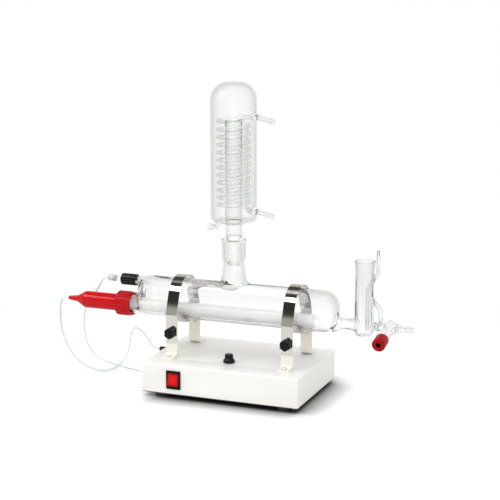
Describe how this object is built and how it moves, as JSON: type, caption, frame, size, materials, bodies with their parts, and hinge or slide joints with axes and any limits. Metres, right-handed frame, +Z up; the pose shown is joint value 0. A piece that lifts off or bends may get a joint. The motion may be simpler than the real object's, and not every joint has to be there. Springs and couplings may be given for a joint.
{
  "type": "water distiller",
  "caption": "Bench water distiller: glass boiler with screw-capped heater and level sensor clamped over a control box, upright coil condenser, level vessel and drain valve.",
  "frame": {"origin": "centre of the control box's footprint, on the bench", "axes": "+X to the right along the box's front and the boiler, +Y from the front to the rear, +Z up"},
  "size_m": [0.6383, 0.2143, 0.5155],
  "materials": {
    "cover_paint": "satin",
    "plate_paint": "satin",
    "foot_rubber": "matt",
    "post_paint": "satin",
    "steel": "brushed",
    "bright_steel": "polished",
    "switch_black": "fine grain",
    "switch_red": "gloss",
    "control_black": "fine grain",
    "knob_black": "fine grain",
    "brass": "turned",
    "board_green": "laminate",
    "aluminium": "extruded",
    "block_white": "fine grain",
    "gland_nylon": "fine grain",
    "silicone": "translucent",
    "clear_glass": "polished",
    "cap_red": "satin",
    "boot_red": "satin",
    "cap_black": "satin",
    "ceramic": "fired",
    "resistance_wire": "drawn",
    "ptfe": "waxy",
    "sleeve_clear": "translucent",
    "lead_pale": "translucent"
  },
  "bodies": {
    "stand": {"base_cover": "cover_paint", "bottom_plate": "plate_paint", "base_screws": "bright_steel", "base_nuts": "steel", "rubber_feet": "foot_rubber", "switch_housing": "switch_black", "pot_body": "brass", "pot_nut": "brass", "control_board": "board_green", "heat_sink": "aluminium", "terminal_block": "block_white", "heater_gland": "gland_nylon", "sensor_gland": "gland_nylon", "mains_gland": "gland_nylon", "gland_nuts": "gland_nylon", "post_front_left": "post_paint", "post_front_right": "post_paint", "post_rear_left": "post_paint", "post_rear_right": "post_paint", "cradle_left": "steel", "cradle_right": "steel", "cradle_pads": "silicone", "strap_left": "bright_steel", "strap_right": "bright_steel", "strap_bolts": "steel", "clamp_nuts": "steel", "boiler": "clear_glass", "level_vessel": "clear_glass", "inlet_tube": "clear_glass", "overflow_tube": "clear_glass", "drain_valve": "clear_glass", "heater_sheath": "clear_glass", "heater_core": "ceramic", "heater_winding": "resistance_wire", "heater_boot": "boot_red", "sensor_tube": "clear_glass", "sensor_probe": "resistance_wire", "sensor_sleeve": "sleeve_clear", "heater_lead": "lead_pale", "sensor_lead": "lead_pale"},
    "rocker": {"switch_rocker": "switch_red"},
    "heat_control": {"control_shaft": "aluminium", "control_knob": "control_black"},
    "valve_stem": {"valve_spindle": "ptfe"},
    "valve_handle": {"valve_knob": "cap_red"},
    "washer_left": {"clamp_washer_left": "bright_steel"},
    "washer_right": {"clamp_washer_right": "bright_steel"},
    "thumb_left": {"clamp_knob_left": "knob_black"},
    "thumb_right": {"clamp_knob_right": "knob_black"},
    "heater_ring": {"heater_seal": "silicone"},
    "heater_screw_cap": {"heater_cap": "cap_red"},
    "sensor_ring": {"sensor_seal": "silicone"},
    "sensor_screw_cap": {"sensor_cap": "cap_black"},
    "condenser": {"condenser_jacket": "clear_glass", "condenser_stem": "clear_glass", "condenser_coil": "clear_glass", "hose_nozzles": "clear_glass", "distillate_outlet": "clear_glass"}
  },
  "joints": [
    {"name": "rocker_tilt", "type": "hinge", "parent": "stand", "child": "rocker", "pos_m": [-0.0783, -0.092, 0.0332], "axis": [1, 0, 0], "range_deg": [0, 20]},
    {"name": "heat_control_turn", "type": "hinge", "parent": "stand", "child": "heat_control", "pos_m": [0, -0.046, 0.058], "axis": [0, 0, -1], "range_deg": [0, 270]},
    {"name": "condenser_turn", "type": "hinge", "parent": "stand", "child": "condenser", "pos_m": [-0.0095, 0, 0.2565], "axis": [0, 0, 1], "continuous": true},
    {"name": "valve_travel", "type": "slide", "parent": "stand", "child": "valve_stem", "axis": [0, -0.9848, -0.1736], "range_m": [0, 0.0084]},
    {"name": "valve_turn", "type": "hinge", "parent": "valve_stem", "child": "valve_handle", "pos_m": [0.26, 0, 0.1305], "axis": [0, -0.9848, -0.1736], "range_deg": [0, 1080]},
    {"name": "clamp_left_travel", "type": "slide", "parent": "stand", "child": "washer_left", "axis": [0, -1, 0], "range_m": [0, 0.0024]},
    {"name": "clamp_left_turn", "type": "hinge", "parent": "washer_left", "child": "thumb_left", "pos_m": [-0.102, -0.05, 0.1], "axis": [0, -1, 0], "range_deg": [0, 1080]},
    {"name": "clamp_right_travel", "type": "slide", "parent": "stand", "child": "washer_right", "axis": [0, -1, 0], "range_m": [0, 0.0024]},
    {"name": "clamp_right_turn", "type": "hinge", "parent": "washer_right", "child": "thumb_right", "pos_m": [0.102, -0.05, 0.1], "axis": [0, -1, 0], "range_deg": [0, 1080]},
    {"name": "heater_cap_travel", "type": "slide", "parent": "stand", "child": "heater_ring", "axis": [-1, 0, 0], "range_m": [0, 0.003]},
    {"name": "heater_cap_turn", "type": "hinge", "parent": "heater_ring", "child": "heater_screw_cap", "pos_m": [-0.2165, 0, 0.1295], "axis": [-1, 0, 0], "range_deg": [0, 360]},
    {"name": "sensor_cap_travel", "type": "slide", "parent": "stand", "child": "sensor_ring", "axis": [-1, 0, 0], "range_m": [0, 0.003]},
    {"name": "sensor_cap_turn", "type": "hinge", "parent": "sensor_ring", "child": "sensor_screw_cap", "pos_m": [-0.21, 0, 0.172], "axis": [-1, 0, 0], "range_deg": [0, 540]}
  ],
  "couplings": [
    {"joint": "valve_travel", "follows": "valve_turn", "m_per_rad": 0.00044563},
    {"joint": "clamp_left_travel", "follows": "clamp_left_turn", "m_per_rad": 0.00012732},
    {"joint": "clamp_right_travel", "follows": "clamp_right_turn", "m_per_rad": 0.00012732},
    {"joint": "heater_cap_travel", "follows": "heater_cap_turn", "m_per_rad": 0.00047746},
    {"joint": "sensor_cap_travel", "follows": "sensor_cap_turn", "m_per_rad": 0.00031831}
  ]
}
